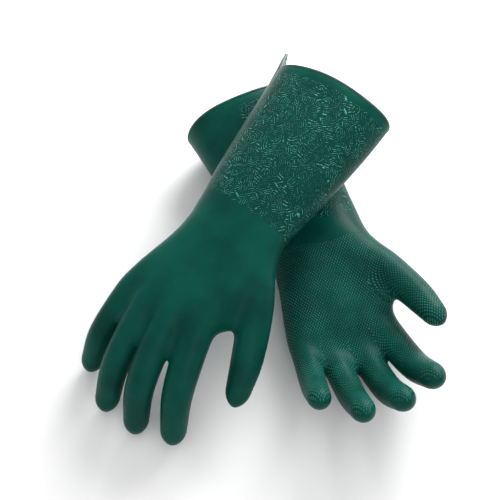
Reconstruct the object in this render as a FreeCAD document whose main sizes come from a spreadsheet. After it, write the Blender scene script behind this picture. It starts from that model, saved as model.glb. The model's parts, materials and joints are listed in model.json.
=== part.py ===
"""A pair of long-cuffed dipped gardening gloves, crossed one over the other.

Both gloves come from one hand form, mirrored.  The left glove lies on its back with the
palm up.  The right glove lies across it with the palm down and its fingertips on the floor.

The form has its own frame: X to the fingertips, Y to the thumb, Z out of the back of the
hand, with the origin at the middle of the wrist.  Each glove is a hollow rubber shell that
is divided where it bends: cuff, hand, and for each finger a root fold, a lower length, a
middle fold and a tip.  Inside are the cotton linings of the cuff and of the hand.
"""

import FreeCAD, Part
import os

from FreeCAD import Placement, Rotation, Vector

os.makedirs("parts", exist_ok=True)
doc = FreeCAD.newDocument("gardening_gloves")

# ---------------------------------------------------------------- driving sizes, mm and degrees
SIZES = {
    # walls
    "rubber_wall": 1.2,
    "lining_wall": 0.6,
    "lining_gap": 0.1,
    "bead_radius": 1.4,
    # cuff, from the wrist out to the rim
    "cuff_length": 140.0,
    "cuff_middle": 66.0,
    "wrist_half_width": 41.0,
    "wrist_half_height": 24.6,
    "cuff_half_width": 49.0,
    "cuff_half_height": 30.3,
    "rim_half_width": 55.4,
    "rim_half_height": 35.6,
    # palm, from the wrist to the knuckles
    "palm_length": 99.0,
    "heel_place": 34.0,
    "heel_half_width": 41.2,
    "heel_half_height": 21.0,
    "heel_side": -2.0,
    "knuckle_place": 76.0,
    "knuckle_half_width": 45.5,
    "knuckle_half_height": 16.8,
    "knuckle_side": -5.5,
    "knuckle_rise": 1.5,
    "palm_end_half_width": 42.0,
    "palm_end_half_height": 11.0,
    "palm_end_side": -6.5,
    "palm_end_rise": -2.0,
    # folds between the stiff lengths of a finger
    "fold_half": 7.0,
    "fold_gap": 0.2,
    # index finger
    "index_root_place": 81.0,
    "index_root_side": 27.2,
    "index_root_rise": 2.0,
    "index_droop": 19.4,
    "index_root_bend": 14.5,
    "index_middle_bend": 20.5,
    "index_web_length": 35.0,
    "index_lower_length": 28.0,
    "index_tip_length": 37.2,
    "index_root_radius": 12.8,
    "index_fold_radius": 12.2,
    "index_middle_radius": 11.8,
    "index_tip_radius": 9.8,
    # middle finger
    "middle_root_place": 90.4,
    "middle_root_side": 5.0,
    "middle_root_rise": 4.0,
    "middle_droop": 15.0,
    "middle_root_bend": 18.0,
    "middle_middle_bend": 24.6,
    "middle_web_length": 35.5,
    "middle_lower_length": 28.0,
    "middle_tip_length": 37.6,
    "middle_root_radius": 12.6,
    "middle_fold_radius": 11.8,
    "middle_middle_radius": 11.5,
    "middle_tip_radius": 9.5,
    # ring finger
    "ring_root_place": 90.8,
    "ring_root_side": -17.7,
    "ring_root_rise": 3.0,
    "ring_droop": 17.6,
    "ring_root_bend": 15.0,
    "ring_middle_bend": 19.0,
    "ring_web_length": 34.3,
    "ring_lower_length": 28.0,
    "ring_tip_length": 34.0,
    "ring_root_radius": 12.3,
    "ring_fold_radius": 11.6,
    "ring_middle_radius": 11.1,
    "ring_tip_radius": 9.2,
    # little finger
    "little_root_place": 84.6,
    "little_root_side": -38.8,
    "little_root_rise": 0.0,
    "little_droop": 21.2,
    "little_root_bend": 12.9,
    "little_middle_bend": 18.1,
    "little_web_length": 28.2,
    "little_lower_length": 25.3,
    "little_tip_length": 31.0,
    "little_root_radius": 11.4,
    "little_fold_radius": 10.8,
    "little_middle_radius": 10.4,
    "little_tip_radius": 8.7,
    # thumb
    "thumb_root_place": 41.0,
    "thumb_root_side": 45.4,
    "thumb_root_rise": -11.5,
    "thumb_root_bend": 4.3,
    "thumb_middle_bend": 4.6,
    "thumb_turn": -7.0,
    "thumb_web_length": 24.0,
    "thumb_lower_length": 25.0,
    "thumb_tip_length": 25.3,
    "thumb_ball_radius": 15.0,
    "thumb_root_radius": 15.0,
    "thumb_fold_radius": 13.4,
    "thumb_middle_radius": 12.4,
    "thumb_tip_radius": 10.0,
    "thumb_ball_place": 20.0,
    "thumb_ball_side": 22.0,
    "thumb_ball_rise": -3.0,
    # how each glove lies
    "right_wrist_along": -18.6,
    "right_wrist_across": -8.6,
    "right_wrist_height": 84.6,
    "right_heading": -128.3,
    "right_pitch": 8.7,
    "right_roll": 5.6,
    "right_cuff_turn": 3.3,
    "right_cuff_pitch": -2.4,
    "right_heel_out": -2.5,
    "right_knuckles_out": 0.5,
    "right_index_spread": 13.2,
    "right_middle_spread": 7.8,
    "right_ring_spread": 1.0,
    "right_little_spread": -8.5,
    "right_thumb_out": 1.5,
    "right_thumb_spread": 29.7,
    "right_thumb_droop": 14.8,
    "left_wrist_along": 47.7,
    "left_wrist_across": 13.9,
    "left_wrist_height": 25.8,
    "left_heading": -74.3,
    "left_pitch": 5.2,
    "left_roll": 180.9,
    "left_cuff_turn": 12.3,
    "left_cuff_pitch": 0.0,
    "left_heel_out": 6.0,
    "left_knuckles_out": -0.8,
    "left_index_spread": 11.8,
    "left_middle_spread": 7.2,
    "left_ring_spread": 1.1,
    "left_little_spread": -8.0,
    "left_thumb_out": -2.0,
    "left_thumb_spread": 24.8,
    "left_thumb_droop": 19.5,
}

sheet = doc.addObject("Spreadsheet::Sheet", "Sizes")
for row, (alias, value) in enumerate(SIZES.items(), start=1):
    sheet.set("A%d" % row, alias)
    sheet.set("B%d" % row, str(value))
    sheet.setAlias("B%d" % row, alias)
doc.recompute()


def size(alias):
    """The value of one cell of the sheet."""
    return float(getattr(sheet, alias))


# A section or a cone is drawn about its own Z, and this turns that Z to the form's X.
ACROSS = Rotation(Vector(1, 1, 1), 120)
# A ball's poles lean this many degrees, so that they lie off the axes of the lengths it joins.
POLE_LEAN = 37
FINGERS = ("index", "middle", "ring", "little", "thumb")

sub_parts = []


def bind(item, prop, expression):
    """Tie one property of an object to the sheet."""
    item.setExpression(prop, expression)


def inset_text(inset):
    """The words that take a wall off a size, for an expression."""
    return "" if inset == "" else " - (%s)" % inset


def oval(name, half_width, half_height, inset, place):
    """An elliptical section whose half sizes are sheet expressions."""
    item = doc.addObject("Part::Ellipse", name)
    bind(item, "MajorRadius", half_width + inset_text(inset))
    bind(item, "MinorRadius", half_height + inset_text(inset))
    item.Placement = place
    return item


def ring(name, radius, inset, place):
    """A round section."""
    item = doc.addObject("Part::Circle", name)
    bind(item, "Radius", radius + inset_text(inset))
    item.Placement = place
    return item


def loft(name, sections):
    """A solid through closed sections, straight from each one to the next."""
    item = doc.addObject("Part::Loft", name)
    item.Sections = sections
    item.Solid = True
    item.Ruled = True
    return item


def cone(name, radius_near, radius_far, length, inset, place):
    """A tapered round length along the X of its place."""
    item = doc.addObject("Part::Cone", name)
    bind(item, "Radius1", radius_near + inset_text(inset))
    bind(item, "Radius2", radius_far + inset_text(inset))
    bind(item, "Height", length)
    item.Placement = place
    return item


def ball(name, radius, inset, centre):
    """A sphere about a centre."""
    item = doc.addObject("Part::Sphere", name)
    bind(item, "Radius", radius + inset_text(inset))
    item.Placement = Placement(centre, Rotation(Vector(0, 1, 0), POLE_LEAN))
    return item


def fuse(name, items):
    """The union of several solids."""
    item = doc.addObject("Part::MultiFuse", name)
    item.Shapes = items
    item.Refine = False
    return item


def sub_part(label, outer, inner, place):
    """A hollow sub-part: outer form less inner form, set where it lies."""
    item = doc.addObject("Part::Cut", label)
    item.Base = outer
    item.Tool = inner
    item.Label = label
    item.Placement = place
    sub_parts.append(item)
    return item


class Finger:
    """The line of one finger in the frame of its glove."""

    def __init__(self, name, side, mirror):
        self.name = name
        spread = size("%s_%s_spread" % (side, name))
        droop = size(side + "_thumb_droop") if name == "thumb" else size(name + "_droop")
        turn = size("thumb_turn") if name == "thumb" else 0.0
        bends = (0.0, size(name + "_root_bend"), size(name + "_middle_bend"))
        lengths = [size(name + "_" + part + "_length") for part in ("web", "lower", "tip")]
        out = size(side + ("_thumb_out" if name == "thumb" else "_knuckles_out"))
        self.points = [Vector(size(name + "_root_place"),
                              mirror * (size(name + "_root_side") + out),
                              size(name + "_root_rise"))]
        self.turns = []
        for index, (bend, length) in enumerate(zip(bends, lengths)):
            droop += bend
            turned = Rotation(mirror * (spread + index * turn), droop, 0)
            self.turns.append(turned)
            self.points.append(self.points[-1] + turned.multVec(Vector(length, 0, 0)))

    def at(self, part, along):
        """The place on one length, measured from that length's start."""
        turned = self.turns[part]
        return Placement(self.points[part] + turned.multVec(Vector(along, 0, 0)), turned.multiply(ACROSS))

    def halfway(self, part):
        """The place of the section in the middle of the fold before a length."""
        turned = self.turns[part - 1].slerp(self.turns[part], 0.5)
        return Placement(self.points[part], turned.multiply(ACROSS))


def glove_place(side):
    """Where a glove's wrist lies, and how the glove is turned."""
    return Placement(
        Vector(size(side + "_wrist_along"), size(side + "_wrist_across"), size(side + "_wrist_height")),
        Rotation(size(side + "_heading"), size(side + "_pitch"), size(side + "_roll")))


def cuff_turn(side, mirror):
    """How the cuff is turned against the hand at the wrist."""
    return Rotation(mirror * size(side + "_cuff_turn"), size(side + "_cuff_pitch"), 0)


def cuff_section(side, mirror, out):
    """The place of a cuff section, a distance out from the wrist."""
    turned = cuff_turn(side, mirror)
    return Placement(turned.multVec(Vector(-out, 0, 0)), turned.multiply(ACROSS))


def cuff_solid(name, side, mirror, inset):
    """The filled form of a cuff: from the wrist section out to the rim."""
    sections = [
        oval(name + "_wrist", "Sizes.wrist_half_width", "Sizes.wrist_half_height", inset,
             Placement(Vector(0, 0, 0), ACROSS)),
        oval(name + "_middle", "Sizes.cuff_half_width", "Sizes.cuff_half_height", inset,
             cuff_section(side, mirror, size("cuff_middle"))),
        oval(name + "_rim", "Sizes.rim_half_width", "Sizes.rim_half_height", inset,
             cuff_section(side, mirror, size("cuff_length"))),
    ]
    return loft(name, sections)


def palm_solid(name, side, mirror, inset, finish):
    """The filled form of the palm: from the wrist section to the finger roots."""
    def across(place, aside, rise):
        return Placement(Vector(place, mirror * aside, rise), ACROSS)
    out = size(side + "_heel_out") / 2
    wider = " + Sizes.%s_heel_out / 2" % side
    sections = [
        oval(name + "_wrist", "Sizes.wrist_half_width", "Sizes.wrist_half_height", inset,
             across(0, 0, 0)),
        oval(name + "_heel", "Sizes.heel_half_width" + wider, "Sizes.heel_half_height", inset,
             across(size("heel_place"), size("heel_side") - out, 0)),
        oval(name + "_knuckle", "Sizes.knuckle_half_width" + wider, "Sizes.knuckle_half_height", inset,
             across(size("knuckle_place"), size("knuckle_side") - out, size("knuckle_rise"))),
        oval(name + "_end", "Sizes.palm_end_half_width", "Sizes.palm_end_half_height", inset,
             across(finish, size("palm_end_side"), size("palm_end_rise"))),
    ]
    return loft(name, sections)


def thumb_solid(name, thumb, mirror, inset):
    """The filled form from the ball of the thumb, in the palm, to the thumb's root fold."""
    start = Vector(size("thumb_ball_place"), mirror * size("thumb_ball_side"), size("thumb_ball_rise"))
    reach = thumb.points[0] - start
    toward = Rotation(Vector(1, 0, 0), reach)
    half_turn = toward.slerp(thumb.turns[0], 0.5)
    stub = size("thumb_web_length") - size("fold_half")
    sections = [
        ring(name + "_ball", "Sizes.thumb_ball_radius", inset,
             Placement(start, toward.multiply(ACROSS))),
        ring(name + "_root", "Sizes.thumb_root_radius", inset,
             Placement(thumb.points[0], half_turn.multiply(ACROSS))),
        ring(name + "_stub", "Sizes.thumb_fold_radius", inset, thumb.at(0, stub)),
    ]
    return loft(name, sections)


def hand_solid(name, side, fingers, mirror, inset, end_wall):
    """The filled form of the hand: palm, the five finger stubs and the ball of the thumb.

    A hollow stays end_wall inside the closed end of the palm and the roots of the stubs.
    """
    members = [palm_solid(name + "_palm", side, mirror, inset, size("palm_length") - end_wall)]
    for finger in fingers[:-1]:
        stub = "Sizes.%s_web_length - Sizes.fold_half - %g" % (finger.name, end_wall)
        members.append(cone(
            name + "_" + finger.name, "Sizes.%s_root_radius" % finger.name,
            "Sizes.%s_fold_radius" % finger.name, stub, inset, finger.at(0, end_wall)))
    members.append(thumb_solid(name + "_thumb", fingers[-1], mirror, inset))
    return fuse(name, members)


def fold_solid(name, finger, part, inset):
    """The filled form of the fold before one length of a finger."""
    half = size("fold_half")
    before = finger.name + ("_fold" if part == 1 else "_middle")
    sections = [
        ring(name + "_near", "Sizes.%s_radius" % before, inset,
             finger.at(part - 1, length_of(finger, part - 1) - half + size("fold_gap"))),
        ring(name + "_bend", "Sizes.%s_radius" % before, inset, finger.halfway(part)),
        ring(name + "_far", "Sizes.%s_radius" % before, inset,
             finger.at(part, half - size("fold_gap"))),
    ]
    return loft(name, sections)


def length_of(finger, part):
    """The length of one of a finger's three straight runs."""
    return (finger.points[part + 1] - finger.points[part]).Length


def make_finger(side, finger, place):
    """The four sub-parts of one finger."""
    name = side + "_" + finger.name
    walls = ("", "Sizes.rubber_wall")
    for part, fold in ((1, "root_fold"), (2, "middle_fold")):
        forms = [fold_solid("%s_%s_form%d" % (name, fold, index), finger, part, wall)
                 for index, wall in enumerate(walls)]
        sub_part(name + "_" + fold, forms[0], forms[1], place)
    lower = []
    for index, wall in enumerate(walls):
        lower.append(cone(
            "%s_lower_form%d" % (name, index), "Sizes.%s_fold_radius" % finger.name,
            "Sizes.%s_middle_radius" % finger.name,
            "Sizes.%s_lower_length - 2 * Sizes.fold_half" % finger.name,
            wall, finger.at(1, size("fold_half"))))
    sub_part(name + "_lower", lower[0], lower[1], place)
    tips = []
    for index, wall in enumerate(walls):
        shaft = cone(
            "%s_tip_shaft%d" % (name, index), "Sizes.%s_middle_radius" % finger.name,
            "Sizes.%s_tip_radius" % finger.name,
            "Sizes.%s_tip_length - Sizes.fold_half" % finger.name,
            wall, finger.at(2, size("fold_half")))
        end = ball("%s_tip_end%d" % (name, index), "Sizes.%s_tip_radius" % finger.name, wall,
                   finger.points[3])
        tips.append(fuse("%s_tip_form%d" % (name, index), [shaft, end]))
    sub_part(name + "_tip", tips[0], tips[1], place)


def make_glove(side, mirror):
    """Every sub-part of one glove."""
    place = glove_place(side)
    fingers = [Finger(name, side, mirror) for name in FINGERS]
    rubber = "Sizes.rubber_wall"
    outside = "Sizes.rubber_wall + Sizes.lining_gap"
    inside = "Sizes.rubber_wall + Sizes.lining_gap + Sizes.lining_wall"
    reach = size("cuff_length")

    sub_part(side + "_cuff",
             cuff_solid(side + "_cuff_form", side, mirror, ""),
             cuff_solid(side + "_cuff_hollow", side, mirror, rubber), place)
    sub_part(side + "_cuff_lining",
             cuff_solid(side + "_cuff_lining_form", side, mirror, outside),
             cuff_solid(side + "_cuff_lining_hollow", side, mirror, inside), place)
    shell = size("rubber_wall")
    slack = shell + size("lining_gap")
    sub_part(side + "_hand",
             hand_solid(side + "_hand_form", side, fingers, mirror, "", 0),
             hand_solid(side + "_hand_hollow", side, fingers, mirror, rubber, shell), place)
    sub_part(side + "_hand_lining",
             hand_solid(side + "_hand_lining_form", side, fingers, mirror, outside, slack),
             hand_solid(side + "_hand_lining_hollow", side, fingers, mirror, inside,
                        slack + size("lining_wall")), place)

    rim = oval(side + "_rim_line", "Sizes.rim_half_width", "Sizes.rim_half_height",
               "Sizes.rubber_wall / 2", cuff_section(side, mirror, reach + size("bead_radius")))
    turned = cuff_turn(side, mirror)
    start = Vector(-reach - size("bead_radius"), size("rim_half_width") - size("rubber_wall") / 2, 0)
    section = ring(side + "_bead_section", "Sizes.bead_radius", "",
                   Placement(turned.multVec(start), turned))
    bead = doc.addObject("Part::Sweep", side + "_bead")
    bead.Sections = [section]
    bead.Spine = (rim, ["Edge1"])
    bead.Solid = True
    bead.Label = side + "_bead"
    bead.Placement = place
    sub_parts.append(bead)

    for finger in fingers:
        make_finger(side, finger, place)


make_glove("right", 1)
make_glove("left", -1)
doc.recompute()

for item in doc.Objects:
    if "Invalid" in item.State or "Error" in item.State:
        raise SystemExit("not built: %s %s" % (item.Label, item.State))
for item in sub_parts:
    if item.Shape.isNull() or not item.Shape.isValid() or not item.Shape.Solids:
        raise SystemExit("no valid solid: " + item.Label)
for item in sub_parts:
    item.Shape.exportStep("parts/%s.step" % item.Label)
    box = item.Shape.BoundBox
    print("%-24s solids %d volume %9.1f  z %.1f..%.1f" % (
        item.Label, len(item.Shape.Solids), item.Shape.Volume, box.ZMin, box.ZMax))
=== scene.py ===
"""A crossed pair of long-cuffed dipped rubber gardening gloves.

Both gloves are one hand form, mirrored.  The form has its own frame, in metres: X to the
fingertips, Y to the thumb, Z out of the back of the hand, origin at the middle of the wrist.
Each glove's skin is one smooth surface round that form.  It is cut where a finger leaves the
hand and again in the middle of the finger, so that every joint has a piece to bend.
"""
from __future__ import annotations

import json
import logging
import math
from dataclasses import dataclass, field
from enum import Enum

import bmesh
import bpy
import numpy as np
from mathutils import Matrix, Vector

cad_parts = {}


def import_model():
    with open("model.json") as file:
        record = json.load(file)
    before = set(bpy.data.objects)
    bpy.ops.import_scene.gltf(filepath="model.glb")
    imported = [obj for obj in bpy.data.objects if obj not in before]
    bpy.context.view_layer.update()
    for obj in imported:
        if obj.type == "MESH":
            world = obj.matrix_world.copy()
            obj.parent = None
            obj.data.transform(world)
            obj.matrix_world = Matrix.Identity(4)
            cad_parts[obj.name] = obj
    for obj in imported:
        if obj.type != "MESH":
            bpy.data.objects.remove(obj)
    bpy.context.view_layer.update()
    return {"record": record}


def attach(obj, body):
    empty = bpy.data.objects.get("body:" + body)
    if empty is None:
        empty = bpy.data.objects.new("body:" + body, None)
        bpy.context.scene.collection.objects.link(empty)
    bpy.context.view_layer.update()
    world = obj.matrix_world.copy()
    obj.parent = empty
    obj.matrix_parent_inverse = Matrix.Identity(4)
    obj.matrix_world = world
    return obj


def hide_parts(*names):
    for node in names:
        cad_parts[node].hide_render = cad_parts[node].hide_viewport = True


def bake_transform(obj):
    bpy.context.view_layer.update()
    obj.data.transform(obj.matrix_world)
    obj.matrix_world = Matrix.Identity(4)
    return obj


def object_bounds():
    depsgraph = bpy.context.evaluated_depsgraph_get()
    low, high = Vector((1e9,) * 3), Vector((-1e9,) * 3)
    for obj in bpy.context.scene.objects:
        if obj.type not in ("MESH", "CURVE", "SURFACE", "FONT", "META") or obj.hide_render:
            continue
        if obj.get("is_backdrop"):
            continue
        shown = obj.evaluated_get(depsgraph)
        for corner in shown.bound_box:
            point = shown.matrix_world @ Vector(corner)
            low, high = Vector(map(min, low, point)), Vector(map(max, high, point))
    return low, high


LOG = logging.getLogger("gloves")
MM = 0.001
TINY = 1e-12
Color = tuple[float, float, float, float]
Place = tuple[float, float, float]


# ------------------------------------------------------------------ small geometry helpers
def turn_z(degrees: float) -> np.ndarray:
    """The 3x3 rotation about Z."""
    c, s = math.cos(math.radians(degrees)), math.sin(math.radians(degrees))
    return np.array([[c, -s, 0.0], [s, c, 0.0], [0.0, 0.0, 1.0]])


def turn_y(degrees: float) -> np.ndarray:
    """The 3x3 rotation about Y."""
    c, s = math.cos(math.radians(degrees)), math.sin(math.radians(degrees))
    return np.array([[c, 0.0, s], [0.0, 1.0, 0.0], [-s, 0.0, c]])


def unit(vector: np.ndarray) -> np.ndarray:
    """The vector, one long."""
    return vector / np.linalg.norm(vector)


def unit_rows(rows: np.ndarray) -> np.ndarray:
    """Every row, one long, or nought where it has no length."""
    return rows / (np.linalg.norm(rows, axis=1)[:, None] + TINY)


def triangle_normals(vertices: np.ndarray, triangles: np.ndarray) -> np.ndarray:
    """Each triangle's normal, as long as twice its area."""
    corners = vertices[triangles]
    return np.cross(corners[:, 1] - corners[:, 0], corners[:, 2] - corners[:, 0])


def cubic(t: np.ndarray | float) -> tuple[np.ndarray | float, ...]:
    """The shares of a smooth curve between two marks.

    Args:
        t: how far along the curve is, from 0 to 1.

    Returns:
        The shares of the first value, the first slope, the last value and the last slope.
    """
    return (1 + 2 * t) * (1 - t) ** 2, t * (1 - t) ** 2, t * t * (3 - 2 * t), t * t * (t - 1)


def smooth_step(value: np.ndarray, low: float, high: float) -> np.ndarray:
    """0 below low, 1 above high, and a smooth rise between."""
    t = np.clip((value - low) / (high - low), 0.0, 1.0)
    return t * t * (3.0 - 2.0 * t)


def melt(first: np.ndarray, second: np.ndarray, reach: float | np.ndarray) -> np.ndarray:
    """The union of two distance fields, rounded within reach of where they meet.

    Args:
        first: distances to one form.
        second: distances to the other form.
        reach: how far from the meeting line the rounding starts.

    Returns:
        Distances to the joined form.
    """
    mix = np.maximum(reach - np.abs(first - second), 0.0) / reach
    return np.minimum(first, second) - mix * mix * reach * 0.25


def taper(points: np.ndarray, start: np.ndarray, finish: np.ndarray,
          start_radius: float, finish_radius: float) -> np.ndarray:
    """Distances to a round-ended tapered rod.

    Args:
        points: places to measure, one per row.
        start: centre of the first end.
        finish: centre of the other end.
        start_radius: radius at the first end.
        finish_radius: radius at the other end.

    Returns:
        One signed distance per place, negative inside.
    """
    axis = finish - start
    t = np.clip((points - start) @ axis / (axis @ axis), 0.0, 1.0)
    gap = points - start - t[:, None] * axis
    radius = start_radius + (finish_radius - start_radius) * t
    return np.sqrt(np.einsum("ij,ij->i", gap, gap)) - radius


@dataclass(frozen=True)
class Section:
    """One oval section of a tube that runs along X."""

    place: float
    half_width: float
    half_height: float
    side: float = 0.0
    rise: float = 0.0


def oval_tube(points: np.ndarray, sections: tuple[Section, ...], end_round: float) -> np.ndarray:
    """Distances to a tube with oval sections that change smoothly along X.

    Args:
        points: places to measure, one per row.
        sections: the sections, in order along X.
        end_round: how gently the two ends close.

    Returns:
        One signed distance per place, negative inside.
    """
    places = np.array([s.place for s in sections])
    along = np.clip(points[:, 0], places[0], places[-1])

    def track(values: list[float]) -> np.ndarray:
        """A value at every point's place along the tube, without kinks at the sections.

        Args:
            values: the value at each section.

        Returns:
            The value at each point.
        """
        v = np.array(values)
        slopes = np.gradient(v, places)
        index = np.clip(np.searchsorted(places, along) - 1, 0, len(places) - 2)
        span = places[index + 1] - places[index]
        share = cubic((along - places[index]) / span)
        return (share[0] * v[index] + share[1] * span * slopes[index]
                + share[2] * v[index + 1] + share[3] * span * slopes[index + 1])

    width = track([s.half_width for s in sections])
    height = track([s.half_height for s in sections])
    y = points[:, 1] - track([s.side for s in sections])
    z = points[:, 2] - track([s.rise for s in sections])
    never_nought = 1e-6
    ratio = np.sqrt((y / width) ** 2 + (z / height) ** 2) + never_nought
    steep = np.sqrt((y / width ** 2) ** 2 + (z / height ** 2) ** 2) + never_nought
    wall = np.maximum((ratio - 1.0) * ratio / steep, -height)
    ends = np.abs(points[:, 0] - (places[0] + places[-1]) / 2) - (places[-1] - places[0]) / 2
    mix = np.maximum(end_round - np.abs(wall - ends), 0.0) / end_round
    return np.maximum(wall, ends) + mix * mix * end_round * 0.25


# ------------------------------------------------------------------ the hand form
@dataclass(frozen=True)
class FingerForm:
    """One finger of the hand form, with the long bone that leads to it through the palm.

    The heel is where the bone starts and the root is the knuckle.  The spread, the droop and the
    turn are the finger's angles from straight ahead, and the bends add to its droop.
    """

    name: str
    heel: Place
    root: Place
    spread: float
    droop: float
    bends: tuple[float, float]
    turn: float
    lengths: tuple[float, float, float]
    radii: tuple[float, float, float, float, float]
    steps: int = 5
    point_shares: tuple[float, ...] = (0.0, 0.25, 0.5, 0.75, 1.0)
    point_length: float = 0.95
    point_radius: float = 0.50
    point_power: float = 1.7
    fine_within: float = 0.026

    def points(self) -> np.ndarray:
        """Finds the finger's joints.

        Returns:
            Four places, from the knuckle to the middle of the round end.
        """
        place = np.array(self.root)
        places = [place]
        droop = self.droop
        for index, length in enumerate(self.lengths):
            droop += (0.0, *self.bends)[index]
            turned = turn_z(self.spread + index * self.turn) @ turn_y(droop)
            place = place + turned @ np.array([length, 0, 0])
            places.append(place)
        return np.array(places)

    def line(self) -> tuple[np.ndarray, np.ndarray, np.ndarray]:
        """A smooth line through the bone and the finger.

        Returns:
            Places on the line, the radius at each, and how far each lies beyond the knuckle.
        """
        places = np.vstack([[self.heel], self.points()])
        ways = np.diff(places, axis=0)
        lengths = np.linalg.norm(ways, axis=1)
        ways /= lengths[:, None]
        leans = np.vstack([ways[:1], ways[:-1] + ways[1:], ways[-1:]])
        leans /= np.linalg.norm(leans, axis=1)[:, None]
        marks = np.concatenate([[0.0], np.cumsum(lengths)]) - lengths[0]
        slopes = np.gradient(np.array(self.radii), marks)
        line, radii, reach = [], [], []
        for index, length in enumerate(lengths):
            for t in np.arange(self.steps) / self.steps:
                h = cubic(t)
                line.append(h[0] * places[index] + h[1] * length * leans[index]
                            + h[2] * places[index + 1] + h[3] * length * leans[index + 1])
                radii.append(h[0] * self.radii[index] + h[1] * length * slopes[index]
                             + h[2] * self.radii[index + 1] + h[3] * length * slopes[index + 1])
                reach.append(marks[index] + t * length)
        tip = self.radii[-1]
        for share in self.point_shares:
            line.append(places[-1] + ways[-1] * tip * self.point_length * share)
            radii.append(tip * (1.0 - (1.0 - self.point_radius) * share ** self.point_power))
            reach.append(marks[-1] + tip * self.point_length * share)
        return np.array(line), np.array(radii), np.array(reach)

    def distance(self, points: np.ndarray) -> np.ndarray:
        """Distances to the bone and the finger, rough where they are far away.

        Args:
            points: places to measure, one per row.

        Returns:
            One signed distance per place.
        """
        places = np.vstack([[self.heel], self.points()])
        total = np.min([taper(points, places[i], places[i + 1], self.radii[i], self.radii[i + 1])
                        for i in range(4)], axis=0)
        near = total < self.fine_within
        close = points[near]
        line, radii, _ = self.line()
        fine = np.full(len(close), 1.0)
        for index in range(len(line) - 1):
            rod = taper(close, line[index], line[index + 1], radii[index], radii[index + 1])
            fine = np.minimum(fine, rod)
        total[near] = fine
        return total

    def along(self, points: np.ndarray) -> tuple[np.ndarray, np.ndarray]:
        """Places the points against the finger's line.

        Args:
            points: places to measure, one per row.

        Returns:
            How far beyond the knuckle each point lies, and how far to the line's side.
        """
        line, _, marks = self.line()
        best = np.full(len(points), 1e9)
        reach = np.zeros(len(points))
        side = np.zeros(len(points))
        last = len(line) - 2
        for index in range(last + 1):
            axis = line[index + 1] - line[index]
            length = float(np.linalg.norm(axis))
            share = max(marks[index] / marks[-1], 0.0)
            lateral = turn_z(self.spread + 2 * share * self.turn) @ np.array([0, 1.0, 0])
            t = (points - line[index]) @ axis / length
            held = np.clip(t, -1.0 if index == 0 else 0.0, 1.0 if index == last else length)
            gap = np.linalg.norm(points - line[index] - held[:, None] * axis / length, axis=1)
            nearer = gap < best
            best = np.where(nearer, gap, best)
            reach = np.where(nearer, marks[index] + held, reach)
            side = np.where(nearer, (points - line[index]) @ lateral, side)
        return reach, side


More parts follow.
